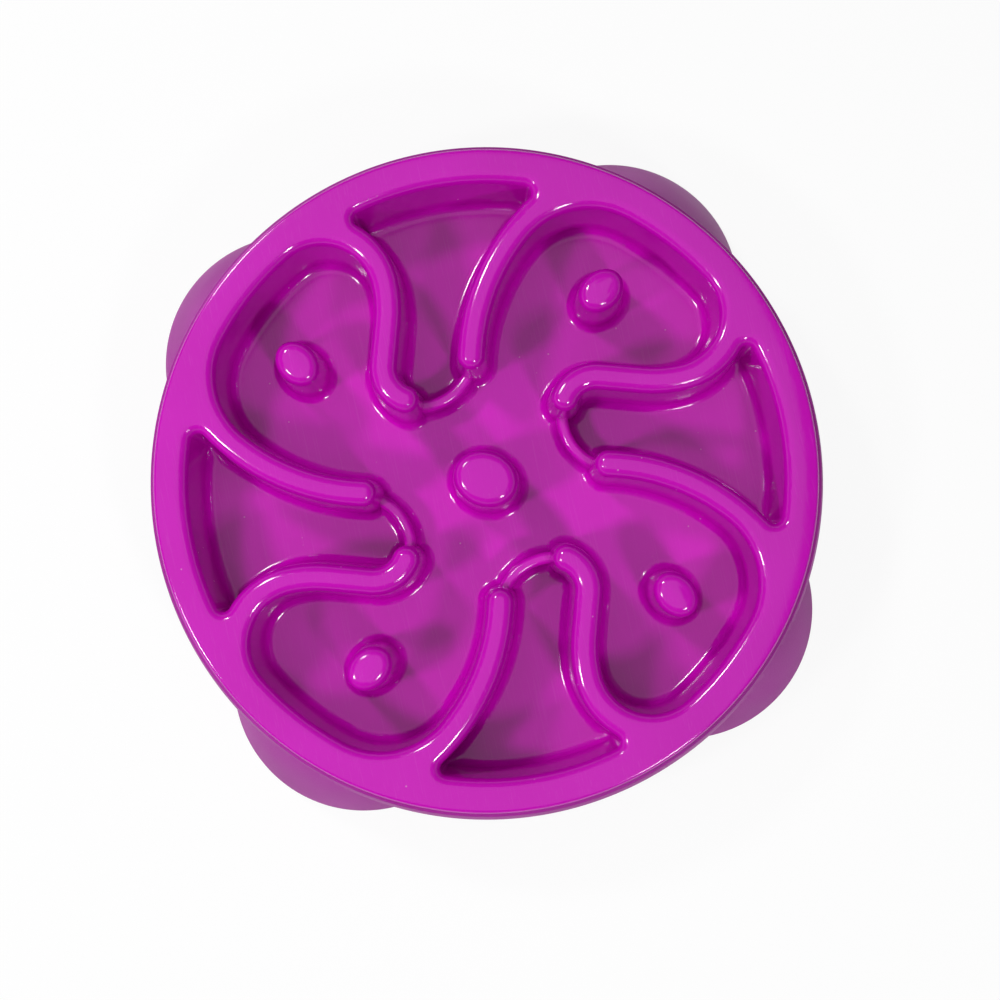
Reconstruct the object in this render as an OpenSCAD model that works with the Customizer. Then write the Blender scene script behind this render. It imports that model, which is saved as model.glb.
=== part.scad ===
// Slow feeder bowl: one moulded plastic bowl with a raised maze, and four pressed-in rubber feet.
// The origin is on the table at the centre of the bowl, with +Z up. The four feet stand on the diagonals.

/* [Rim] */
// Width of the flat rim, from the basin's wall to its outer edge
rim_w = 13.8; // [12:0.2:16]
// Height of the rim above the table
rim_h = 50; // [46:0.5:60]
// How far the rim's top falls towards its outer edge
rim_fall = 0.5; // [0:0.1:1.2]
// Rounding of the rim's outer edge
lip_round = 1.6; // [0.5:0.1:2]
// Height of the smooth lip above the ledge
lip_h = 5.2; // [4:0.1:7]
// Width of the ledge between the lip and the skirt
ledge_w = 1.9; // [1:0.1:3]

/* [Basin] */
// Radius of the basin's wall, just below its rounded top edge
basin_r = 121.2; // [112:0.2:124]
// Height of the feeding floor above the table
floor_h = 14; // [11:0.5:18]
// Thickness of the moulded walls
wall = 2.5; // [2:0.1:3]
// Draft of every moulded wall, in degrees
draft = 3; // [1:0.5:4]
// Rounding of the top edges of the walls and ridges
crest_round = 3.2; // [2.4:0.1:3.4]
// Rounding where the walls and ridges meet the floor
foot_round = 4; // [2:0.5:5]

/* [Ridges] */
// Width of a ridge, just below its rounded top edges
ridge_w = 11.2; // [10:0.1:13]
// How far the ridges stay below the rim
ridge_drop = 0.25; // [0.2:0.05:1]
// Bend of the plain ridge
plain_bend = 87.5; // [80:0.5:95]
// Centre of the plain ridge's bend, across from the middle
plain_across = 90; // [88:0.5:92]
// Centre of the plain ridge's bend, along from the middle
plain_along = 28.4; // [27:0.2:30]
// Angle round its bend at which the plain ridge ends
plain_tip_angle = 165.6; // [162:0.2:167]
// Corner between the plain ridge and the basin's wall
plain_corner = 32; // [28:0.5:34]
// Bend of the hook
hook_bend = 14; // [12:0.5:16]
// Centre of the hook's bend, across from the middle
hook_across = 50.3; // [49:0.1:52]
// Centre of the hook's bend, along from the middle
hook_along = 17.3; // [16:0.1:18]
// Angle round its bend at which the hook ends
hook_tip_angle = 146; // [140:1:150]
// Slope of the hooked ridge's straight part, in degrees
hook_slope = 17.8; // [14:0.2:22]
// Length of the hooked ridge's straight part
hook_run = 17.2; // [12:0.2:20]
// Bend of the hooked ridge's trough
trough_bend = 54; // [48:0.5:60]
// Angle round the bowl at which the hooked ridge's outer side reaches the basin's wall
rise_angle = 16; // [15:0.1:18]

/* [Islands] */
// Length of the middle island, just below its rounded top edge
middle_l = 26.6; // [22:0.2:30]
// Width of the middle island
middle_w = 22.6; // [18:0.2:24]
// Turn of the middle island, in degrees
middle_turn = -35; // [-90:5:90]
// Length of a petal island, just below its rounded top edge
petal_l = 20; // [16:0.5:24]
// Width of a petal island
petal_w = 16; // [14:0.5:18]
// Turn of a petal island, in degrees
petal_turn = 30; // [0:5:60]
// Distance of a petal island's centre from the basin's wall
petal_inset = 30.7; // [25:0.1:36]
// Angle round the bowl at which a petal island stands
petal_angle = 45.9; // [44:0.1:48]
// How far the islands stay below the rim
island_drop = 2; // [1:0.5:8]

/* [Sills] */
// Height of the sills above the feeding floor
sill_h = 12; // [6:0.5:20]
// Width of a sill's top
sill_w = 5; // [4:0.5:6]
// How far a sill bows inwards between the ridges
sill_bow = 6.8; // [4:0.2:8]

/* [Skirt] */
// Height of the skirt's lower edge between the feet
grip_h = 30; // [26:0.5:34]
// How far the skirt flares out on its way down
skirt_flare = 2.9; // [1:0.1:4]
// How far a foot's top stays inside the ledge's outer edge
foot_set_back = 0.8; // [0.4:0.1:4]
// Radius of a foot at its lower edge
foot_r = 56; // [50:0.5:60]
// Radius of a foot at its top, under the rim
foot_top_r = 37; // [34:0.5:38]
// Outward bulge of a foot's wall
foot_bulge = 1.6; // [0:0.1:3]

/* [Rubber feet] */
// Thickness of a rubber pad under its boss
pad_t = 2.5; // [2:0.1:4]
// Radius of a rubber pad
pad_r = 10; // [8:0.5:12]
// Radius of the plug that holds a pad
plug_r = 3; // [2.5:0.1:3.5]
// Length of the plug
plug_l = 9; // [6:0.5:14]
// Free space around and above the plug
plug_gap = 0.1; // [0.05:0.05:0.3]
// Distance of a pad's centre inside the rim's outer edge
pad_inset = 6.7; // [6:0.1:7]
// Radius of the boss that takes the plug
boss_r = 6; // [5:0.1:6.2]
// Height of the skirt's feet above the table
foot_lift = 2; // [1:0.1:2.4]

/* [Hidden] */
plastic = [0.76, 0.16, 0.72];
rubber = [0.16, 0.15, 0.17];

// How far a cut runs past a face, and the thickness of a slice that only carries an outline
overrun = 1;
leaf = 0.2;

// Turns at which the quarter of the pattern repeats, and the diagonal that a foot stands on
quarters = [0, 90, 180, 270];
diagonal = 45;

// Sides of the round shapes, and steps along the bends of the ridges
round_fn = 60;
foot_fn = 44;
hole_fn = 16;
oval_fn = 20;
hollow_fn = 14;
long_steps = 7;
corner_steps = 5;
bend_steps = 4;
short_steps = 2;
tip_steps = 6;
tip_step = 180 / tip_steps;

// Places that follow the basin's wall and the rim
rim_r = basin_r + rim_w;
foot_reach = rim_r + ledge_w - foot_set_back - foot_top_r;
pad_reach = rim_r - pad_inset;
petal_reach = basin_r - petal_inset;

// Heights of the moulding
crest_h = rim_h - ridge_drop;
wall_top = rim_h - crest_round;
floor_under = floor_h - wall;
bury = wall / 2;
rim_under = rim_h - rim_fall - wall;
ledge_h = rim_h - rim_fall - lip_h;

// Offset from the nominal edge, outwards from a ridge and inwards from the basin's wall, with its height
function drafted(h) = (wall_top - h) * tan(draft);
function foot_level(a) = [
    drafted(floor_h + foot_round) + foot_round * (1 - cos(a)),
    floor_h + foot_round * (1 - sin(a))
];
function crest_level(a, top, r) = [
    drafted(top - r) - r * (1 - cos(a)),
    top - r * (1 - sin(a))
];
foot_steps = [60, 0];
crest_steps = [0, 45, 90];
buried_level = [foot_level(foot_steps[0])[0] + bury, floor_h - bury];
function levels(top, r = crest_round) = concat(
    [buried_level],
    [for (a = foot_steps) foot_level(a)],
    [for (a = crest_steps) crest_level(a, top, r)]
);
function hollow_levels(top) = [
    [drafted(-overrun) - wall, -overrun],
    [drafted(top - wall) - wall, top - wall]
];

// Plan geometry: points on arcs, and where two circles meet, or come closest if they don't reach each other
function polar(c, r, a) = [c[0] + r * cos(a), c[1] + r * sin(a)];
function arc(c, r, a0, a1, n) = [for (i = [0:n]) polar(c, r, a0 + (a1 - a0) * i / n)];
function tip(c, r, a) = arc(c, r, a + tip_step, a + 180 - tip_step, tip_steps - 2);
function angle_to(p, q) = atan2(q[1] - p[1], q[0] - p[0]);
function meet(c1, r1, c2, r2, side) =
    let (
        l = norm(c2 - c1),
        u = (c2 - c1) / l,
        a = (r1 * r1 - r2 * r2 + l * l) / (2 * l),
        h = sqrt(max(0, r1 * r1 - a * a))
    )
    c1 + a * u + side * h * [-u[1], u[0]];
middle = [0, 0];
function root_r(d) = basin_r - d + bury;
half_w = ridge_w / 2;

// Plain ridge: one long bend from a round inner tip to the basin's wall
plain_blend = 12;
plain_centre = [plain_across, plain_along];
plain_corner_centre = meet(
    middle, basin_r - plain_corner, plain_centre, plain_bend - half_w - plain_corner, 1
);
plain_wall_angle = angle_to(middle, plain_corner_centre);
plain_turn_angle = angle_to(plain_centre, plain_corner_centre);
plain_blend_angle = plain_turn_angle - plain_blend;
plain_tip = polar(plain_centre, plain_bend, plain_tip_angle);
function plain_outline(d) =
    let (
        r_out = plain_bend + half_w + d,
        r_in = plain_bend - half_w - d,
        end_r = root_r(d),
        root = meet(middle, end_r, plain_centre, r_out, 1),
        last = polar(middle, end_r, plain_wall_angle)
    )
    concat(
        arc(plain_centre, r_out, angle_to(plain_centre, root), plain_tip_angle, long_steps),
        tip(plain_tip, half_w + d, plain_tip_angle),
        arc(plain_centre, r_in, plain_tip_angle, plain_turn_angle, bend_steps),
        arc(plain_corner_centre, plain_corner - d, plain_blend_angle, plain_wall_angle, bend_steps),
        [last],
        [polar(middle, end_r, (plain_wall_angle + angle_to(middle, root)) / 2)]
    );

// Hooked ridge: hook, straight, trough and a rise to the basin's wall
rise_blend = 8;
hook_centre = [hook_across, hook_along];
hook_turn_angle = 90 - hook_slope;
run_turn_angle = 270 - hook_slope;
trough_turn_angle = 270 - hook_slope / short_steps;
hook_tip = polar(hook_centre, hook_bend, hook_tip_angle);
hook_end = polar(hook_centre, hook_bend, hook_turn_angle);
run_end = hook_end + hook_run * [cos(hook_slope), -sin(hook_slope)];
trough_centre = run_end + trough_bend * [sin(hook_slope), cos(hook_slope)];
trough_low = trough_centre - [0, trough_bend];
hook_corner_top = trough_low[1] + half_w;
hook_corner = (basin_r * basin_r - trough_low[0] * trough_low[0] - hook_corner_top * hook_corner_top)
    / (2 * (basin_r + hook_corner_top));
hook_corner_centre = [trough_low[0], hook_corner_top + hook_corner];
hook_wall_angle = angle_to(middle, hook_corner_centre);
rise_low = trough_low - [0, half_w];
rise_to_wall = polar(middle, basin_r, rise_angle) - rise_low;
rise_bend = rise_to_wall * rise_to_wall / (2 * rise_to_wall[1]);
rise_centre = rise_low + [0, rise_bend];
function hooked_outline(d) =
    let (
        end_r = root_r(d),
        root = meet(middle, end_r, rise_centre, rise_bend + d, -1)
    )
    concat(
        arc(hook_centre, hook_bend + half_w + d, hook_turn_angle, hook_tip_angle, bend_steps),
        tip(hook_tip, half_w + d, hook_tip_angle),
        arc(hook_centre, hook_bend - half_w - d, hook_tip_angle, hook_turn_angle, bend_steps),
        arc(trough_centre, trough_bend + half_w + d, run_turn_angle, 270, short_steps),
        arc(rise_centre, rise_bend + d, 270 + rise_blend, 360 + angle_to(rise_centre, root), bend_steps),
        [polar(middle, end_r, (hook_wall_angle + angle_to(middle, root)) / 2)],
        [polar(middle, end_r, hook_wall_angle)],
        arc(hook_corner_centre, hook_corner - d, hook_wall_angle, -90, corner_steps),
        arc(trough_centre, trough_bend - half_w - d, trough_turn_angle, run_turn_angle, short_steps)
    );

// Sill: a low wall that bows inwards between a hook and the next plain ridge's tip
sill_end = [plain_tip[1], -plain_tip[0]];
sill_half = norm(sill_end - hook_tip) / 2;
sill_bend = (sill_half * sill_half + sill_bow * sill_bow) / (2 * sill_bow);
sill_centre = meet(hook_tip, sill_bend, sill_end, sill_bend, 1);
sill_top = floor_h + sill_h;
sill_round_share = 0.33;
sill_round = sill_w * sill_round_share;
sill_drop = drafted(sill_top - sill_round);
sill_from = angle_to(sill_centre, hook_tip);
sill_to = angle_to(sill_centre, sill_end) + 360;
function sill_outline(d) =
    let (w = sill_w / 2 + d - sill_drop)
    concat(
        arc(sill_centre, sill_bend + w, sill_from, sill_to, bend_steps),
        arc(sill_centre, sill_bend - w, sill_to, sill_from, bend_steps)
    );

// Islands: ovals
island_top = rim_h - island_drop;
middle_half = [middle_l, middle_w] / 2;
petal_half = [petal_l, petal_w] / 2;
function island_outline(half, d, n) = [
    for (i = [0:n - 1]) [(half[0] + d) * cos(360 * i / n), (half[1] + d) * sin(360 * i / n)]
];

// Solid between stacked outlines of equal length, from the lowest level to the highest
module stacked(outlines, heights) {
    n = len(outlines[0]);
    m = len(outlines);
    points = [for (j = [0:m - 1]) for (p = outlines[j]) [p[0], p[1], heights[j]]];
    sides = [
        for (j = [0:m - 2]) for (i = [0:n - 1]) for (side = [0, 1])
            let (k = (i + 1) % n)
            side == 0
                ? [j * n + i, (j + 1) * n + k, j * n + k]
                : [j * n + i, (j + 1) * n + i, (j + 1) * n + k]
    ];
    bottom = [for (i = [0:n - 1]) i];
    top = [for (i = [n - 1:-1:0]) (m - 1) * n + i];
    polyhedron(points = points, faces = concat(sides, [bottom, top]), convexity = 8);
}

module plain_ridge(steps) {
    stacked([for (s = steps) plain_outline(s[0])], [for (s = steps) s[1]]);
}

module hooked_ridge(steps) {
    stacked([for (s = steps) hooked_outline(s[0])], [for (s = steps) s[1]]);
}

module sill() {
    steps = levels(sill_top, sill_round);
    stacked([for (s = steps) sill_outline(s[0])], [for (s = steps) s[1]]);
}

module island(half, steps, n) {
    stacked([for (s = steps) island_outline(half, s[0], n)], [for (s = steps) s[1]]);
}

module island_hollow(half) {
    hull()
        for (s = hollow_levels(island_top))
            translate([0, 0, s[1]])
                linear_extrude(leaf)
                    polygon(island_outline(half, s[0], hollow_fn));
}

module at_each_petal() {
    for (q = quarters)
        rotate(q)
            translate(polar(middle, petal_reach, petal_angle))
                rotate(petal_turn)
                    children();
}

// Half section of the basin, the rim and its lip, turned round the middle
module basin() {
    inside = [
        for (a = [90:-45:0])
            let (s = foot_level(a))
            [basin_r - s[0], s[1]]
    ];
    crest = [
        for (a = crest_steps)
            let (s = crest_level(a, rim_h, crest_round))
            [basin_r - s[0], s[1]]
    ];
    lip_top = rim_h - rim_fall;
    lip = [
        for (a = [90:-45:0])
            [rim_r - lip_round * (1 - cos(a)), lip_top - lip_round * (1 - sin(a))]
    ];
    outside = [
        [rim_r, ledge_h],
        [rim_r - wall, ledge_h],
        [rim_r - wall - lip_round, rim_under],
        [basin_r + wall + lip_round, rim_under],
        [basin_r + wall - drafted(rim_under - lip_round), rim_under - lip_round],
        [basin_r + wall - drafted(floor_h), floor_h],
        [basin_r + wall - drafted(floor_h) - foot_round, floor_under],
        [0, floor_under]
    ];
    rotate_extrude($fn = round_fn)
        polygon(concat([[0, floor_h]], inside, crest, lip, outside));
}

// Solid that fills the basin out to a distance from its wall, for trimming what crosses it
module basin_plug(out) {
    rotate_extrude($fn = round_fn)
        polygon([
            [0, -overrun],
            [basin_r + out - drafted(floor_h), -overrun],
            [basin_r + out - drafted(floor_h), floor_h],
            [basin_r + out, wall_top],
            [basin_r + out, rim_h],
            [0, rim_h]
        ]);
}

// Outer shape of the skirt: a flared ring under the rim, and four round feet. It grows inwards by inset.
module skirt_shape(inset, base, ring_base, top) {
    roof_share = 0.5;
    ring_top_r = rim_r + ledge_w - inset;
    foot_top = ledge_h - inset * roof_share;
    foot_mid = (foot_top + foot_lift) / 2;
    rotate_extrude($fn = round_fn)
        polygon([
            [0, ring_base],
            [ring_top_r + skirt_flare, ring_base],
            [ring_top_r, foot_top],
            [rim_r - inset, top],
            [0, top]
        ]);
    for (q = quarters)
        rotate(q)
            translate(polar(middle, foot_reach, diagonal))
                hull() {
                    disc(base, foot_r - inset);
                    disc(foot_mid, (foot_r + foot_top_r) / 2 + foot_bulge - inset);
                    disc(foot_top - leaf, foot_top_r - inset);
                }
}

module disc(h, r) {
    translate([0, 0, h])
        cylinder(h = leaf, r = r, $fn = foot_fn);
}

module skirt() {
    difference() {
        skirt_shape(0, foot_lift, grip_h, ledge_h + bury);
        skirt_shape(wall, foot_lift - overrun, grip_h - overrun, rim_under);
        basin_plug(bury);
    }
}

module at_each_pad(n) {
    for (q = n)
        rotate(q)
            translate(polar(middle, pad_reach, diagonal))
                children();
}

module bosses() {
    at_each_pad(quarters)
        translate([0, 0, pad_t])
            cylinder(h = rim_under + bury - pad_t, r = boss_r, $fn = hole_fn);
}

module plug_holes() {
    at_each_pad(quarters)
        translate([0, 0, pad_t - overrun])
            cylinder(h = plug_l + plug_gap + overrun, r = plug_r + plug_gap, $fn = hole_fn);
}

// Hollows under the ridges, ending at the basin's wall
module ridge_hollows() {
    intersection() {
        basin_plug(0);
        for (q = quarters)
            rotate(q) {
                plain_ridge(hollow_levels(crest_h));
                hooked_ridge(hollow_levels(crest_h));
            }
    }
}

// The one moulding: basin, rim and skirt, with every ridge, sill and island hollow from below
module bowl() {
    color(plastic)
        difference() {
            union() {
                basin();
                skirt();
                bosses();
                for (q = quarters)
                    rotate(q) {
                        plain_ridge(levels(crest_h));
                        hooked_ridge(levels(crest_h));
                        sill();
                    }
                rotate(middle_turn)
                    island(middle_half, levels(island_top), oval_fn);
                at_each_petal()
                    island(petal_half, levels(island_top), oval_fn);
            }
            ridge_hollows();
            rotate(middle_turn)
                island_hollow(middle_half);
            at_each_petal()
                island_hollow(petal_half);
            plug_holes();
        }
}

// Rubber foot: a flat pad with a plug that presses into its boss
module foot_pad(q) {
    color(rubber)
        at_each_pad([q]) {
            cylinder(h = pad_t, r = pad_r, $fn = hole_fn);
            cylinder(h = pad_t + plug_l, r = plug_r, $fn = hole_fn);
        }
}

bowl();
foot_pad(0);  // foot_pad_back_right
foot_pad(90);  // foot_pad_back_left
foot_pad(180);  // foot_pad_front_left
foot_pad(270);  // foot_pad_front_right
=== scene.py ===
"""A moulded slow feeder bowl on four rubber feet, seen from above on a plain pale table."""

import math

import bmesh
import bpy
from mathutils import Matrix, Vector
from mathutils.bvhtree import BVHTree


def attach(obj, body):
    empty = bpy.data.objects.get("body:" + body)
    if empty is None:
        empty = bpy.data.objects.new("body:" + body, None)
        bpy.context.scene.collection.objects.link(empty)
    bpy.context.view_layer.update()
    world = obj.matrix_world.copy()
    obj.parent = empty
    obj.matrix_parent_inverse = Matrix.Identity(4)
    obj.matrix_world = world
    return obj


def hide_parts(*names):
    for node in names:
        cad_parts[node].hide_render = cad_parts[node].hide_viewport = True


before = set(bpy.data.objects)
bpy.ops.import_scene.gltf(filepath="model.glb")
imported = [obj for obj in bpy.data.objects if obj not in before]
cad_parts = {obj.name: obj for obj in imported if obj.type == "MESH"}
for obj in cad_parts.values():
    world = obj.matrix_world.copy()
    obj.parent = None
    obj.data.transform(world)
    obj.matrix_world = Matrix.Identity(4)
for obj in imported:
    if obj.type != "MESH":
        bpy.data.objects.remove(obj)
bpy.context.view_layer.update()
bpy.ops.object.select_all(action="DESELECT")

# Bowl, feeding side
# One glossy skin of plastic. The floor, the basin's wall, the flat rim and the ridges run into each other.
# It is drawn as one looping outline at the crest, and each lower ring follows the draft and the roundings.
rim_r, rim_h, rim_fall = 0.135, 0.050, 0.0005
basin_r, floor_h, wall = 0.1212, 0.014, 0.0025
crest_round, foot_round, draft = 0.0048, 0.004, math.radians(3)
half_ridge = 0.0056
edge_z, foot_z = 0.0468, floor_h + foot_round
crest_steps, foot_steps, support = 8, 6, 0.00015
tight_corner, tightest = 0.0030, 0.0008


def polar(centre, radius, degrees):
    """The point at this distance and direction from a centre."""
    a = math.radians(degrees)
    return (centre[0] + radius * math.cos(a), centre[1] + radius * math.sin(a))


def aim(start, end):
    """The direction from one point to another, in degrees."""
    return math.degrees(math.atan2(end[1] - start[1], end[0] - start[0]))


def touch(c1, r1, c2, r2, side):
    """The point at r1 from c1 and r2 from c2, on the given side of the line between them."""
    gap = math.dist(c1, c2)
    ux, uy = (c2[0] - c1[0]) / gap, (c2[1] - c1[1]) / gap
    along = (r1 * r1 - r2 * r2 + gap * gap) / (2 * gap)
    off = side * math.sqrt(r1 * r1 - along * along)
    return (c1[0] + along * ux - off * uy, c1[1] + along * uy + off * ux)


middle = (0.0, 0.0)
plain_c, plain_r, plain_end = (0.090, 0.0284), 0.0875, 165.6
petal_corner_r = 0.032
petal_corner_c = touch(middle, basin_r - petal_corner_r, plain_c, plain_r - half_ridge - petal_corner_r, 1)
hook_c, hook_r, hook_end = (0.0503, 0.0173), 0.014, 146.0
slope_angle, run = 17.8, 0.0172
slope, hook_turn = math.radians(slope_angle), 90 - slope_angle
run_start = polar(hook_c, hook_r, hook_turn)
run_end = (run_start[0] + run * math.cos(slope), run_start[1] - run * math.sin(slope))
trough_r, rise_angle = 0.054, 16
trough_c = (run_end[0] + trough_r * math.sin(slope), run_end[1] + trough_r * math.cos(slope))
low_x, low_y = trough_c[0], trough_c[1] - trough_r
side_y = low_y + half_ridge
side_corner_r = (basin_r**2 - low_x**2 - side_y**2) / (2 * (basin_r + side_y))
side_corner_c = (low_x, side_y + side_corner_r)
wall_x, wall_y = polar(middle, basin_r, rise_angle)
rise_x, rise_y = wall_x - low_x, wall_y - low_y + half_ridge
rise_r = (rise_x**2 + rise_y**2) / (2 * rise_y)
rise_c = (low_x, low_y - half_ridge + rise_r)
plain_tip, hook_tip = polar(plain_c, plain_r, plain_end), polar(hook_c, hook_r, hook_end)


def outline(d):
    """The maze's whole edge in one loop, with each ridge d wider on both sides and the basin d narrower."""
    points = []

    def bend(centre, radius, start, end, steps, closed=False):
        count = steps + 1 if closed else steps
        points.extend(polar(centre, radius, start + (end - start) * i / steps) for i in range(count))

    rho = max(tight_corner - d, tightest)
    reach = basin_r - d
    rise_corner = touch(middle, reach - rho, rise_c, rise_r + d + rho, -1)
    plain_corner = touch(middle, reach - rho, plain_c, plain_r + half_ridge + d + rho, 1)
    side_wall, petal_wall = aim(middle, side_corner_c), aim(middle, petal_corner_c)
    bend(middle, reach, petal_wall, side_wall, 10)
    bend(side_corner_c, side_corner_r - d, side_wall, -90, 18)
    bend(trough_c, trough_r - half_ridge - d, 270, 270 - slope_angle, 5, closed=True)
    bend(hook_c, hook_r + half_ridge + d, hook_turn, hook_end, 14)
    bend(hook_tip, half_ridge + d, hook_end, hook_end + 180, 20)
    bend(hook_c, hook_r - half_ridge - d, hook_end, hook_turn, 10, closed=True)
    bend(trough_c, trough_r + half_ridge + d, 270 - slope_angle, 270, 5)
    bend(rise_c, rise_r + d, -90, aim(rise_c, rise_corner), 16)
    bend(rise_corner, rho, aim(rise_corner, rise_c), aim(middle, rise_corner), 10)
    next_corner = aim(middle, plain_corner) - 90
    bend(middle, reach, aim(middle, rise_corner), next_corner, 22)
    here = len(points)
    bend(plain_corner, rho, aim(middle, plain_corner), aim(plain_corner, plain_c), 10)
    bend(plain_c, plain_r + half_ridge + d, aim(plain_c, plain_corner), plain_end, 20)
    bend(plain_tip, half_ridge + d, plain_end, plain_end + 180, 20)
    turn = aim(plain_c, petal_corner_c)
    bend(plain_c, plain_r - half_ridge - d, plain_end, turn, 14)
    bend(petal_corner_c, petal_corner_r - d, turn, petal_wall, 18)
    points[here:] = [(y, -x) for x, y in points[here:]]
    ring = []
    for quarter in range(4):
        ring += points
        points = [(y, -x) for x, y in points]
    return ring


def lean(z):
    """How far a drafted wall stands in from its nominal place at a height."""
    return (edge_z - z) * math.tan(draft)


def levels(top, rounding):
    """Offset and height of each ring, from the top down to the floor."""
    crest = [math.radians(90 - 90 * i / crest_steps) for i in range(crest_steps + 1)]
    foot = [math.radians(90 * i / foot_steps) for i in range(foot_steps + 1)]
    high, low = lean(top - rounding), lean(foot_z)
    rings = [(high - rounding * (1 - math.cos(a)), top - rounding * (1 - math.sin(a))) for a in crest]
    rings += [(low + foot_round * (1 - math.cos(a)), foot_z - foot_round * math.sin(a)) for a in foot]
    rings += [(rings[-1][0] + support, floor_h)]
    return [(rings[0][0] - support, top)] + rings


rings = levels(rim_h, crest_round)
start = outline(rings[0][0])
bpy.ops.mesh.primitive_circle_add(vertices=len(start), radius=rim_r, fill_type="NOTHING")
bowl = bpy.context.object
bowl.name = bowl.data.name = "bowl_moulding"
bpy.ops.object.mode_set(mode="EDIT")
skin = bmesh.from_edit_mesh(bowl.data)
place = skin.verts.layers.int.new("place")
for corner in skin.verts:
    corner[place] = corner.index
for step, (d, z) in enumerate(rings):
    if step:
        bpy.ops.mesh.extrude_region_move()
    edge = outline(d)
    for corner in skin.verts:
        if corner.select:
            corner.co = (*edge[corner[place]], z)

# Bowl, islands
# Five oval posts of the same plastic that stand on the floor, one in the middle and one in each petal.
# Each is drawn up from its foot ring by ring, and its top is a low crown.
middle_half, middle_turn = (0.0133, 0.0113), -35
petal_half, petal_turn, petal_reach, petal_angle = (0.010, 0.008), 30, 0.0905, 45.9
island_drop, crown, crown_shares, island_sides = 0.002, 0.0004, (0.94, 0.75, 0.5, 0.25), 48
side_angle = 360 / island_sides
islands = [(middle, middle_half, middle_turn)]
for quarter in (0, 90, 180, 270):
    islands.append((polar(middle, petal_reach, petal_angle + quarter), petal_half, petal_turn + quarter))
posts = [(d, z, 1) for d, z in levels(rim_h - island_drop, crest_round)[:0:-1]]
top_d, top_z, _ = posts[-1]
posts += [(top_d, top_z + crown * (1 - share**2), share) for share in crown_shares]
for centre, half, turn in islands:
    bpy.ops.mesh.select_all(action="DESELECT")
    bpy.ops.mesh.primitive_circle_add(vertices=island_sides, radius=1, fill_type="NOTHING")
    spin = math.radians(turn)
    for step, (d, z, share) in enumerate(posts):
        if step:
            bpy.ops.mesh.extrude_region_move()
        ring = [v for v in skin.verts if v.select]
        for v in ring:
            if not step:
                v[place] = round(aim(middle, v.co) / side_angle)
            a = math.radians(v[place] * side_angle)
            x, y = (half[0] + d) * share * math.cos(a), (half[1] + d) * share * math.sin(a)
            v.co.x = centre[0] + x * math.cos(spin) - y * math.sin(spin)
            v.co.y = centre[1] + x * math.sin(spin) + y * math.cos(spin)
            v.co.z = z
    bpy.ops.mesh.edge_face_add()
    bpy.ops.mesh.poke()

# Bowl, floor and flat rim
# The floor is filled in round the islands, and the crest's flat out to the rim.
# The moulding is one even wall. Its underside is the same skin set back, with the lip folded down round it.
flat_r, fold_r, lip_round, round_sides, near = 0.1266, 0.1310, 0.0016, 256, 1e-6
ledge_z, lip_gap, lip_seat, lip_steps = 0.0443, 0.0004, 0.0012, 6
for height in (floor_h, rim_h):
    bpy.ops.mesh.select_all(action="DESELECT")
    if height == rim_h:
        bpy.ops.mesh.primitive_circle_add(
            vertices=round_sides, radius=flat_r, location=(0, 0, rim_h), fill_type="NOTHING"
        )
    for line in skin.edges:
        level = abs(line.verts[0].co.z - height) < near
        line.select_set(not line.link_faces or (line.is_boundary and level))
    bpy.ops.mesh.fill(use_beauty=True)


def pull(ring_from, ring_to):
    """Draws the selected ring, which is round the middle, out to its next radius and height."""
    bpy.ops.mesh.extrude_region_move()
    grow = ring_to[0] / ring_from[0]
    bpy.ops.transform.resize(value=(grow, grow, 1), center_override=(0, 0, 0))
    bpy.ops.transform.translate(value=(0, 0, ring_to[1] - ring_from[1]))


def pick_rim(low, high):
    """Selects the skin's open edge between two heights."""
    bpy.ops.mesh.select_all(action="DESELECT")
    for line in skin.edges:
        if line.is_boundary and low < line.verts[0].co.z < high:
            line.select_set(True)


fold_z = rim_h - rim_fall * (fold_r - flat_r) / (rim_r - lip_round - flat_r)
pick_rim(rim_h - near, rim_h + near)
pull((flat_r, rim_h), (fold_r, fold_z))
bpy.ops.mesh.select_all(action="SELECT")
bpy.ops.mesh.normals_make_consistent(inside=False)
skin.faces.ensure_lookup_table()
skin.faces.index_update()
if min(skin.faces, key=lambda f: abs(f.calc_center_median().length_squared - flat_r**2)).normal.z < 0:
    bpy.ops.mesh.flip_normals()
bpy.ops.object.mode_set(mode="OBJECT")
thick = bowl.modifiers.new("even wall", "SOLIDIFY")
thick.thickness, thick.offset = wall, -1
thick.use_even_offset, thick.use_quality_normals, thick.use_rim = True, True, False
bpy.ops.object.modifier_apply(modifier=thick.name)
bpy.ops.object.mode_set(mode="EDIT")
skin = bmesh.from_edit_mesh(bowl.data)
lip_top, lip_under = rim_h - rim_fall, rim_h - rim_fall - wall
lip = [(fold_r, fold_z), (rim_r - lip_round, lip_top)]
for i in range(1, lip_steps + 1):
    a = math.radians(90 * i / lip_steps)
    lip.append((rim_r - lip_round * (1 - math.sin(a)), lip_top - lip_round * (1 - math.cos(a))))
lip += [(rim_r, ledge_z - lip_gap), (rim_r - wall, ledge_z - lip_gap), (rim_r - wall, lip_under - lip_seat)]
lip += [(rim_r - wall - lip_gap, lip_under - lip_gap)]
pick_rim(rim_h - lip_seat, rim_h)
for ring_from, ring_to in zip(lip, lip[1:]):
    pull(ring_from, ring_to)
pick_rim(0, rim_h)
bpy.ops.mesh.bridge_edge_loops()
bpy.ops.mesh.select_all(action="SELECT")
bpy.ops.mesh.normals_make_consistent(inside=False)
bpy.ops.object.mode_set(mode="OBJECT")

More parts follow.
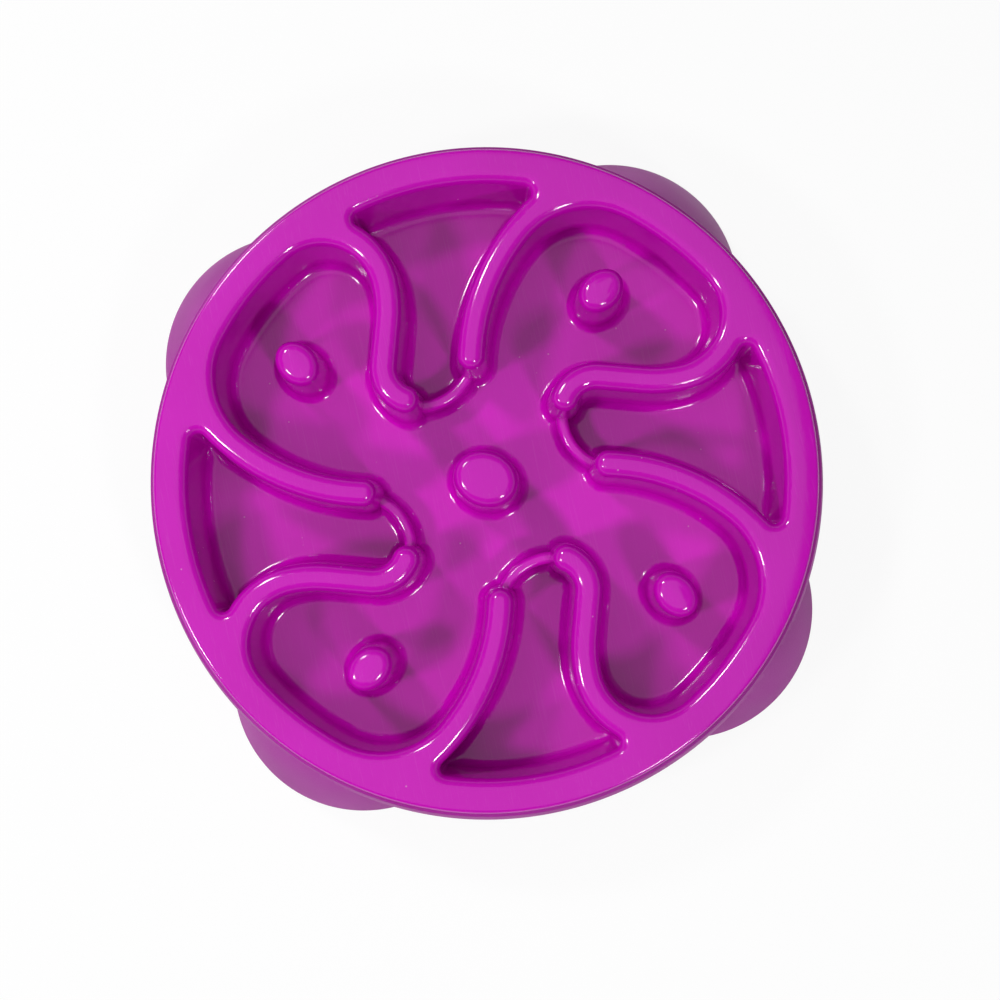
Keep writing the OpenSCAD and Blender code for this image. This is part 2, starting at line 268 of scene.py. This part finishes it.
# Bowl, sills
# Four low bars of the same plastic, each bowed inwards from a hook's end to the tip of the next plain ridge.
# Each closes the lower part of a pocket's mouth.
sill_h, sill_w, sill_bow, sill_start = 0.012, 0.005, 0.0068, 0.00575
sill_round, sill_rise, sill_steps = 0.0021, 0.00001, 16
sill_end = (plain_tip[1], -plain_tip[0])
sill_half = math.dist(sill_end, hook_tip) / 2
sill_r = (sill_half**2 + sill_bow**2) / (2 * sill_bow)
sill_c = touch(hook_tip, sill_r, sill_end, sill_r, 1)
sill_tuck = math.degrees(sill_start / sill_r)
sill_from, sill_to = aim(sill_c, hook_tip) + sill_tuck, aim(sill_c, sill_end) + 360 - sill_tuck
sill_levels = levels(floor_h + sill_h, sill_round)
sill_foot = sill_levels[-2][0]
sill_levels[-2:] = [(sill_foot, floor_h + sill_rise), (sill_foot + support, floor_h + sill_rise)]
sill_levels += [(sill_foot + support, floor_h - wall / 2)]
sill_lean = lean(floor_h + sill_h - sill_round)
parts = []
for quarter in range(4):
    bpy.ops.mesh.primitive_circle_add(vertices=2 * (sill_steps + 1), radius=sill_w, fill_type="NGON")
    sill = bpy.context.object
    sill.name = sill.data.name = f"sill_{quarter + 1}"
    bpy.ops.object.mode_set(mode="EDIT")
    bar = bmesh.from_edit_mesh(sill.data)
    place = bar.verts.layers.int.new("place")
    for corner in bar.verts:
        corner[place] = corner.index
    for step, (d, z) in enumerate(sill_levels):
        if step:
            bpy.ops.mesh.extrude_region_move()
        half = sill_w / 2 + d - sill_lean
        for corner in bar.verts:
            if corner.select:
                i = corner[place]
                outer = i <= sill_steps
                share = i / sill_steps if outer else (2 * sill_steps + 1 - i) / sill_steps
                side_r = sill_r + (half if outer else -half)
                x, y = polar(sill_c, side_r, sill_from + (sill_to - sill_from) * share)
                for turn in range(quarter):
                    x, y = -y, x
                corner.co = (x, y, z)
    bpy.ops.mesh.select_all(action="SELECT")
    bpy.ops.mesh.normals_make_consistent(inside=False)
    bpy.ops.object.mode_set(mode="OBJECT")
    parts.append(sill)

# Bowl, skirt and feet
# A matt, finely textured skirt of the same moulding hangs under the lip and flares out to four round feet.
# It is an outer form with the same form, one wall smaller, and the basin taken out of it.
grip_h, foot_lift = 0.030, 0.002
ledge_w, skirt_flare = 0.0019, 0.0029
foot_reach, foot_r, foot_top_r, foot_bulge = 0.0991, 0.056, 0.037, 0.0016
edge_round, edge_cut, overrun, bulge_steps, foot_sides = 0.0006, 0.0002, 0.001, 12, 192
ring_top_z, seat_rise, seat_in = lip_top - 0.0052, 0.0009, 0.0007
diagonals = (45, 135, 225, 315)


def turned(name, profile, sides, centre=(0, 0)):
    """A closed round form, drawn up ring by ring from (radius, height) to (radius, height)."""
    bpy.ops.object.select_all(action="DESELECT")
    bpy.ops.mesh.primitive_circle_add(
        vertices=sides, radius=profile[0][0], location=(0, 0, profile[0][1]), fill_type="NGON"
    )
    form = bpy.context.object
    bpy.ops.object.transform_apply(location=True)
    form.name = form.data.name = name
    bpy.ops.object.mode_set(mode="EDIT")
    for ring_from, ring_to in zip(profile, profile[1:]):
        pull(ring_from, ring_to)
    bpy.ops.mesh.select_all(action="SELECT")
    bpy.ops.mesh.normals_make_consistent(inside=False)
    bpy.ops.transform.translate(value=(*centre, 0))
    bpy.ops.object.mode_set(mode="OBJECT")
    return form


def combine(form, others, operation):
    """Joins the other forms to this one, or takes them out of it."""
    bpy.context.view_layer.objects.active = form
    for other in others:
        cut = form.modifiers.new(other.name, "BOOLEAN")
        cut.object, cut.operation, cut.solver = other, operation, "MANIFOLD"
        bpy.ops.object.modifier_apply(modifier=cut.name)
        bpy.data.objects.remove(other)


def skirt_form(name, inset):
    """The skirt's ring and feet as one closed form, this far inside the outer faces."""
    low = -overrun if inset else 0
    top_r = rim_r + ledge_w - inset
    ring_z = ring_top_z - inset / 2
    base_r, base_z, toe_z = top_r + skirt_flare, grip_h + low, foot_lift + low
    ring = [(base_r - edge_round, base_z), (base_r - edge_cut, base_z + edge_cut)]
    ring += [(base_r, base_z + edge_round), (top_r + edge_cut / 2, ring_z - edge_round)]
    ring += [(top_r - edge_cut / 2, ring_z - edge_cut)]
    ring += [(top_r - 2 * edge_cut, ring_z), (rim_r - inset, lip_under if inset else ring_top_z + seat_rise)]
    if not inset:
        ring += [(rim_r - seat_in, ring_top_z + lip_seat)]
    form = turned(name, ring, round_sides)
    feet = []
    for a in diagonals:
        foot = [(foot_r - inset - edge_round, toe_z), (foot_r - inset - edge_cut, toe_z + edge_cut)]
        for i in range(bulge_steps + 1):
            t = i / bulge_steps
            bulge = foot_bulge * 4 * t * (1 - t)
            z = toe_z + edge_round + (ring_z - edge_cut - toe_z - edge_round) * t
            foot.append((foot_r + (foot_top_r - foot_r) * t + bulge - inset, z))
        feet.append(turned(f"{name}_foot_{a}", foot, foot_sides, polar(middle, foot_reach, a)))
    combine(form, feet, "UNION")
    return form


skirt = skirt_form("skirt", 0)
plug_r = basin_r + wall / 2
plug_foot_r = plug_r - lean(floor_h)
plug = [(plug_foot_r, -overrun), (plug_foot_r, floor_h), (plug_r, edge_z), (plug_r, rim_h)]
combine(skirt, [skirt_form("skirt_room", wall), turned("plug", plug, round_sides)], "DIFFERENCE")
parts.append(skirt)

# Bowl, root webs
# Where a ridge runs into the basin's wall, the wall goes on below it and closes the ridge's hollow.
# They are one thin ring of the same plastic, which shows only inside the ridges.
web_out_r, web_in_r = basin_r + 0.0019, basin_r + 0.0011
web_low, web_high = floor_h - overrun, rim_h - 0.002
web = turned("web", [(web_out_r - lean(z), z) for z in (web_low, web_high)], round_sides)
web_room = [(web_in_r - lean(web_low), web_low - overrun), (web_in_r - lean(web_high), web_high + overrun)]
combine(web, [turned("web_room", web_room, round_sides)], "DIFFERENCE")
parts.append(web)

# Bowl, bosses
# Four round posts of the moulding under the lip, each with a blind hole for the plug of its rubber foot.
# With them the moulding is whole. Points that the joins left closer than a hair are welded.
pad_reach, pad_t, boss_r = 0.1283, 0.0025, 0.006
hole_r, hole_low, hole_top, hole_round = 0.0031, 0.001, 0.0116, 0.0005
boss_round, boss_sides, hole_sides = 0.0004, 64, 48
seam_gap, sharp_edge = 0.000003, math.radians(35)
pad_places = [polar(middle, pad_reach, a) for a in diagonals]
post = [(boss_r - boss_round, pad_t), (boss_r, pad_t + boss_round), (boss_r, lip_under + edge_cut)]
parts += [turned("boss", post, boss_sides, place) for place in pad_places]
combine(bowl, parts, "UNION")
hole = [(hole_r, hole_low), (hole_r, hole_top - hole_round), (hole_r - hole_round, hole_top)]
combine(bowl, [turned("plug_hole", hole, hole_sides, place) for place in pad_places], "DIFFERENCE")
bpy.ops.object.mode_set(mode="EDIT")
bpy.ops.mesh.select_all(action="SELECT")
bpy.ops.mesh.remove_doubles(threshold=seam_gap)
bpy.ops.mesh.dissolve_degenerate(threshold=seam_gap)
bpy.ops.object.mode_set(mode="OBJECT")
bpy.ops.object.select_all(action="DESELECT")
bowl.select_set(True)
bpy.context.view_layer.objects.active = bowl
bpy.ops.object.shade_smooth_by_angle(angle=sharp_edge)
bowl.data.attributes.remove(bowl.data.attributes["place"])

# Bowl, plastic
# Magenta polypropylene, polished on the feeding side and the rim, and grained on the skirt and underneath.
# The gloss side has a faint orange peel, hairline wiping scratches and a few dry specks. The rest is satin.
bowl.data.materials.clear()
plastic_ior = 1.49
magenta, magenta_pale = (0.53, 0.001, 0.435, 1), (0.565, 0.0015, 0.47, 1)
gloss_scratch, speck_tan = (0.70, 0.12, 0.62, 1), (0.62, 0.36, 0.50, 1)
satin_deep, satin_pale = (0.35, 0.007, 0.29, 1), (0.40, 0.012, 0.335, 1)
# The paler colour for the grain's raised tops is a painted highlight, not a colour the plastic has.
grain_top_painted_highlight, satin_scratch = (0.48, 0.04, 0.41, 1), (0.58, 0.14, 0.52, 1)


def link_all(tree, *pairs):
    """Links each pair of sockets."""
    for start, end in pairs:
        tree.links.new(start, end)


def node_in(tree, kind, **settings):
    """A new node of this kind, with its settings and the values of its named inputs."""
    node = tree.nodes.new("ShaderNode" + kind)
    for name, value in settings.items():
        if name in node.inputs:
            node.inputs[name].default_value = value
        else:
            setattr(node, name, value)
    return node


def noise_in(tree, place, size, detail=2.0, rough=0.5):
    """A noise on this place, with features about this many metres across."""
    noise = node_in(tree, "TexNoise", Detail=detail, Roughness=rough, Scale=1 / size)
    tree.links.new(place, noise.inputs["Vector"])
    return noise.outputs["Fac"]


def range_in(tree, value, low, high, to_low=0.0, to_high=1.0):
    """The value's range from low to high, spread over a new range."""
    span = node_in(tree, "MapRange")
    span.clamp = True
    for name, number in (("From Min", low), ("From Max", high), ("To Min", to_low), ("To Max", to_high)):
        span.inputs[name].default_value = number
    tree.links.new(value, span.inputs["Value"])
    return span.outputs["Result"]


def math_in(tree, operation, first, second):
    """Two sockets, or a socket and a number, put together by this operation."""
    step = tree.nodes.new("ShaderNodeMath")
    step.operation = operation
    for socket, value in zip(step.inputs, (first, second)):
        if isinstance(value, float):
            socket.default_value = value
        else:
            tree.links.new(value, socket)
    return step.outputs[0]


def blend_in(tree, factor, first, second):
    """Two colours, or a socket and a colour, mixed by a mask."""
    blend = node_in(tree, "Mix", data_type="RGBA")
    tree.links.new(factor, blend.inputs["Factor"])
    for name, value in (("A", first), ("B", second)):
        socket = [s for s in blend.inputs if s.name == name and s.type == "RGBA"][0]
        if isinstance(value, tuple):
            socket.default_value = value
        else:
            tree.links.new(value, socket)
    return [s for s in blend.outputs if s.type == "RGBA"][0]


def new_group(name, inputs, outputs):
    """A shader node group with named number inputs, and outputs that are numbers."""
    group = bpy.data.node_groups.new(name, "ShaderNodeTree")
    for label, value in inputs:
        socket = group.interface.new_socket(label, in_out="INPUT", socket_type="NodeSocketFloat")
        socket.default_value = value
    for label in outputs:
        group.interface.new_socket(label, in_out="OUTPUT", socket_type="NodeSocketFloat")
    return group, group.nodes.new("NodeGroupInput"), group.nodes.new("NodeGroupOutput")


# Moulded grain: the fine unevenness that a mould face leaves, with a slow mottle over it
rates = (("Pits per metre", 2200), ("Mottle per metre", 30))
grain, given, out = new_group("moulded_grain", rates, ("Height", "Mottle"))
place = grain.nodes.new("ShaderNodeTexCoord").outputs["Object"]
for rate, result in zip(given.outputs, ("Height", "Mottle")):
    texture = node_in(grain, "TexNoise", Detail=1.0)
    link_all(grain, (place, texture.inputs["Vector"]), (rate, texture.inputs["Scale"]))
    link_all(grain, (texture.outputs["Fac"], out.inputs[result]))

# Wiping wear: hairline scratches that run two ways, and the soft smears that a cloth leaves
rates = (("Scratches per metre", 2400), ("Smears per metre", 22))
wear, given, out = new_group("wiping_wear", rates, ("Scratches", "Smears"))
place = wear.nodes.new("ShaderNodeTexCoord").outputs["Object"]
hairs = []
for turn, stretch in ((0.5, 40), (-0.9, 60)):
    lay = node_in(wear, "Mapping", vector_type="POINT")
    lay.inputs["Rotation"].default_value = (0, 0, turn)
    lay.inputs["Scale"].default_value = (1, 1 / stretch, 1)
    hair = node_in(wear, "TexNoise", Detail=0.0)
    link_all(wear, (place, lay.inputs["Vector"]), (lay.outputs["Vector"], hair.inputs["Vector"]))
    link_all(wear, (given.outputs[0], hair.inputs["Scale"]))
    hairs.append(range_in(wear, hair.outputs["Fac"], 0.70, 0.78))
smear = node_in(wear, "TexNoise", Detail=2.0)
link_all(wear, (place, smear.inputs["Vector"]), (given.outputs[1], smear.inputs["Scale"]))
link_all(wear, (math_in(wear, "MAXIMUM", *hairs), out.inputs["Scratches"]))
link_all(wear, (smear.outputs["Fac"], out.inputs["Smears"]))

gloss = bpy.data.materials.new("gloss_magenta_plastic")
gloss.use_nodes = True
tree = gloss.node_tree
bsdf = tree.nodes["Principled BSDF"]
place = tree.nodes.new("ShaderNodeTexCoord").outputs["Object"]
peel = node_in(tree, "Group")
peel.node_tree = grain
peel.inputs["Pits per metre"].default_value = 520
peel.inputs["Mottle per metre"].default_value = 24
wiped = node_in(tree, "Group")
wiped.node_tree = wear
speck = node_in(tree, "TexVoronoi", Scale=170.0, Randomness=1.0)
tree.links.new(place, speck.inputs["Vector"])
speck_core = range_in(tree, speck.outputs["Distance"], 0.035, 0.075, 1.0, 0.0)
chosen = range_in(tree, noise_in(tree, place, 0.014), 0.56, 0.62)
dust = math_in(tree, "MULTIPLY", speck_core, chosen)
tint = blend_in(tree, range_in(tree, peel.outputs["Mottle"], 0.3, 0.7), magenta, magenta_pale)
tint = blend_in(tree, math_in(tree, "MULTIPLY", wiped.outputs["Scratches"], 0.08), tint, gloss_scratch)
tint = blend_in(tree, math_in(tree, "MULTIPLY", dust, 0.5), tint, speck_tan)
sheen = range_in(tree, wiped.outputs["Smears"], 0.35, 0.7, 0.08, 0.14)
sheen = math_in(tree, "ADD", sheen, math_in(tree, "MULTIPLY", wiped.outputs["Scratches"], 0.1))
sheen = math_in(tree, "ADD", sheen, math_in(tree, "MULTIPLY", dust, 0.4))
relief = node_in(tree, "Bump", Strength=1.0, Distance=0.000012)
groove = node_in(tree, "Bump", Strength=1.0, Distance=0.000004)
groove.invert = True
link_all(
    tree,
    (tint, bsdf.inputs["Base Color"]),
    (sheen, bsdf.inputs["Roughness"]),
    (peel.outputs["Height"], relief.inputs["Height"]),
    (relief.outputs["Normal"], groove.inputs["Normal"]),
    (wiped.outputs["Scratches"], groove.inputs["Height"]),
    (groove.outputs["Normal"], bsdf.inputs["Normal"]),
)
bsdf.inputs["IOR"].default_value = plastic_ior

satin = bpy.data.materials.new("satin_magenta_plastic")
satin.use_nodes = True
tree = satin.node_tree
bsdf = tree.nodes["Principled BSDF"]
skin_grain = node_in(tree, "Group")
skin_grain.node_tree = grain
wiped = node_in(tree, "Group")
wiped.node_tree = wear
wiped.inputs["Scratches per metre"].default_value = 3000
tint = blend_in(tree, range_in(tree, skin_grain.outputs["Mottle"], 0.3, 0.7), satin_deep, satin_pale)
# Painted highlight: the satin's colour goes paler and whiter where the grain stands highest, as if its tops
# caught the light.
tint = blend_in(tree, range_in(tree, skin_grain.outputs["Height"], 0.5, 0.8, 0.0, 0.35), tint, grain_top_painted_highlight)
tint = blend_in(tree, math_in(tree, "MULTIPLY", wiped.outputs["Scratches"], 0.12), tint, satin_scratch)
relief = node_in(tree, "Bump", Strength=1.0, Distance=0.00006)
link_all(
    tree,
    (tint, bsdf.inputs["Base Color"]),
    (range_in(tree, wiped.outputs["Smears"], 0.3, 0.7, 0.5, 0.62), bsdf.inputs["Roughness"]),
    (skin_grain.outputs["Height"], relief.inputs["Height"]),
    (relief.outputs["Normal"], bsdf.inputs["Normal"]),
)
bsdf.inputs["IOR"].default_value = plastic_ior
bsdf.inputs["Specular IOR Level"].default_value = 0.36

# The polished faces are those that look up at open sky, in from the lip's outer face
bowl.data.materials.append(gloss)
bowl.data.materials.append(satin)
bpy.ops.object.mode_set(mode="EDIT")
bpy.ops.mesh.select_mode(type="FACE")
bpy.ops.mesh.select_all(action="DESELECT")
skin = bmesh.from_edit_mesh(bowl.data)
shell = BVHTree.FromBMesh(skin)
up, step_off, lip_out = Vector((0, 0, 1)), 0.0001, rim_r + 0.0003
for face in skin.faces:
    spot = face.calc_center_median()
    if spot.xy.length < lip_out and spot.z > floor_h - overrun:
        above = shell.ray_cast(spot + (face.normal + up) * step_off, up)[0]
        face.select_set(above is None)
bpy.ops.mesh.select_all(action="INVERT")
bowl.active_material_index = 1
bpy.ops.object.material_slot_assign()
bpy.ops.mesh.select_all(action="INVERT")
bowl.active_material_index = 0
bpy.ops.object.material_slot_assign()
bpy.ops.mesh.select_mode(type="VERT")
bpy.ops.object.mode_set(mode="OBJECT")
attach(bowl, "root")
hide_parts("bowl")

# Rubber feet
# Four black rubber pads that the bowl stands on, moulded with rings of tread.
# Each has a plug pressed up into its boss.
pad_r, plug_half, plug_l = 0.010, 0.003, 0.009
pad_round, neck_round, plug_round = 0.0005, 0.0004, 0.0008
pad_sides, tread_edge = 64, math.radians(30)
rubber_black, rubber_dusty = (0.030, 0.029, 0.031, 1), (0.085, 0.080, 0.078, 1)
rubber = bpy.data.materials.new("foot_rubber")
rubber.use_nodes = True
tree = rubber.node_tree
bsdf = tree.nodes["Principled BSDF"]
skin_grain = node_in(tree, "Group")
skin_grain.node_tree = grain
skin_grain.inputs["Pits per metre"].default_value = 3400
skin_grain.inputs["Mottle per metre"].default_value = 160
dusty = range_in(tree, skin_grain.outputs["Mottle"], 0.52, 0.72, 0.0, 0.45)
tint = blend_in(tree, dusty, rubber_black, rubber_dusty)
relief = node_in(tree, "Bump", Strength=1.0, Distance=0.00004)
link_all(
    tree,
    (tint, bsdf.inputs["Base Color"]),
    (range_in(tree, skin_grain.outputs["Mottle"], 0.3, 0.7, 0.62, 0.84), bsdf.inputs["Roughness"]),
    (skin_grain.outputs["Height"], relief.inputs["Height"]),
    (relief.outputs["Normal"], bsdf.inputs["Normal"]),
)
plug_top = pad_t + plug_l
tread = [(0.0015, 0.0006), (0.0021, 0), (0.0042, 0), (0.0048, 0.0006), (0.0054, 0.0006), (0.0060, 0)]
tread += [(0.0078, 0), (0.0084, 0.0005), (0.0090, 0.0002), (0.0097, 0.0004), (pad_r, 0.0009)]
tread += [(pad_r, pad_t - pad_round), (pad_r - pad_round, pad_t)]
tread += [(plug_half + neck_round, pad_t), (plug_half, pad_t + neck_round)]
tread += [(plug_half, plug_top - plug_round), (plug_half - plug_round, plug_top)]
for node, place in zip(("back_right", "back_left", "front_left", "front_right"), pad_places):
    pad = turned(f"rubber_foot_{node}", tread, pad_sides, place)
    bpy.ops.object.shade_smooth_by_angle(angle=tread_edge)
    pad.data.materials.append(rubber)
    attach(pad, "root")
    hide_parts(f"foot_pad_{node}")

# Table
# A plain pale table that sweeps up into a low backdrop, far off on every side.
# The camera and the reflections see a nearly white table with the bowl's soft shadow, and a grey backdrop.
# From below it is clear, so that the feet and the underside show.
table_r, hub_share = 9.0, 0.01
bend_r, bend_h, sweep_r, sweep_h = 10.0, 0.3, 10.5, 3.0
table_white, backdrop_white, fade_h = 0.9, 0.5, 0.6
bpy.ops.object.select_all(action="DESELECT")
bpy.ops.mesh.primitive_circle_add(vertices=96, radius=table_r, fill_type="NOTHING")
table = bpy.context.object
table.name = "table"
bpy.ops.object.mode_set(mode="EDIT")
bpy.ops.mesh.extrude_region_move()
bpy.ops.transform.resize(value=(hub_share, hub_share, 1), center_override=(0, 0, 0))
bpy.ops.mesh.edge_face_add()
bpy.ops.mesh.select_all(action="INVERT")
pull((table_r, 0), (bend_r, bend_h))
pull((bend_r, bend_h), (sweep_r, sweep_h))
bpy.ops.mesh.select_all(action="SELECT")
bpy.ops.mesh.normals_make_consistent(inside=False)
if min(bmesh.from_edit_mesh(table.data).faces, key=lambda f: f.calc_center_median().length).normal.z < 0:
    bpy.ops.mesh.flip_normals()
bpy.ops.object.mode_set(mode="OBJECT")
white = bpy.data.materials.new("pale_table")
white.use_nodes = True
tree = white.node_tree
bsdf = tree.nodes["Principled BSDF"]
bsdf.inputs["Base Color"].default_value = (0.86, 0.86, 0.865, 1)
bsdf.inputs["Roughness"].default_value = 0.9
glow = node_in(tree, "Emission", Strength=1.0)
shown = node_in(tree, "MixShader")
path = node_in(tree, "LightPath")
seen = math_in(tree, "MAXIMUM", path.outputs["Is Camera Ray"], path.outputs["Is Glossy Ray"])
seen = math_in(tree, "MAXIMUM", seen, path.outputs["Is Transmission Ray"])
rise = tree.nodes.new("ShaderNodeSeparateXYZ")
tree.links.new(tree.nodes.new("ShaderNodeTexCoord").outputs["Object"], rise.inputs[0])
seen_white = range_in(tree, rise.outputs["Z"], 0.0, fade_h, table_white, backdrop_white)
clear = node_in(tree, "BsdfTransparent")
from_below = node_in(tree, "MixShader")
under = tree.nodes.new("ShaderNodeNewGeometry").outputs["Backfacing"]
link_all(
    tree,
    (math_in(tree, "MULTIPLY", seen, seen_white), shown.inputs["Fac"]),
    (bsdf.outputs["BSDF"], shown.inputs[1]),
    (glow.outputs["Emission"], shown.inputs[2]),
    (math_in(tree, "MULTIPLY", under, path.outputs["Is Camera Ray"]), from_below.inputs["Fac"]),
    (shown.outputs["Shader"], from_below.inputs[1]),
    (clear.outputs["BSDF"], from_below.inputs[2]),
    (from_below.outputs["Shader"], tree.nodes["Material Output"].inputs["Surface"]),
)
table.data.materials.append(white)

# Lamps
# One wide soft box overhead, a little to the left, and three small ones that put dashes on the crests.
# The sky is dim above the table, and bright below it so that the underside can be seen.
bowl_top = Vector((0, 0, rim_h))
for name, azimuth, off_axis, distance, size, power in (
    ("overhead", 170, 9, 1.5, 1.7, 5.6),
    ("back_left", 123.3, 42, 1.1, 0.15, 3.6),
    ("left", 191.3, 42, 1.1, 0.15, 4.0),
    ("front_right", 291.3, 42, 1.1, 0.15, 3.3),
):
    x, y = polar(middle, distance * math.sin(math.radians(off_axis)), azimuth)
    spot = Vector((x, y, distance * math.cos(math.radians(off_axis))))
    bpy.ops.object.light_add(type="AREA", location=spot)
    lamp = bpy.context.object
    lamp.name, lamp.data.size, lamp.data.energy = name, size, power
    lamp.rotation_euler = (bowl_top - spot).to_track_quat("-Z", "Y").to_euler()
world = bpy.context.scene.world or bpy.data.worlds.new("studio")
bpy.context.scene.world = world
world.use_nodes = True
sky = world.node_tree
background = sky.nodes["Background"]
background.inputs["Color"].default_value = (0.97, 0.98, 1, 1)
way = sky.nodes.new("ShaderNodeSeparateXYZ")
sky.links.new(sky.nodes.new("ShaderNodeTexCoord").outputs["Generated"], way.inputs[0])
sky.links.new(range_in(sky, way.outputs["Z"], -0.01, 0.0, 0.95, 0.13), background.inputs["Strength"])

# Camera
# From above and a little in front, at the photograph's angle.
camera_turn = [math.radians(a) for a in (2.94, 0.51, -12.68)]
bpy.ops.object.camera_add(location=(0.0020, -0.0458, 0.736), rotation=camera_turn)
camera = bpy.context.object
camera.data.lens, camera.data.sensor_width = 61.2, 36
bpy.context.scene.camera = camera
bpy.context.scene.view_settings.view_transform = "Standard"
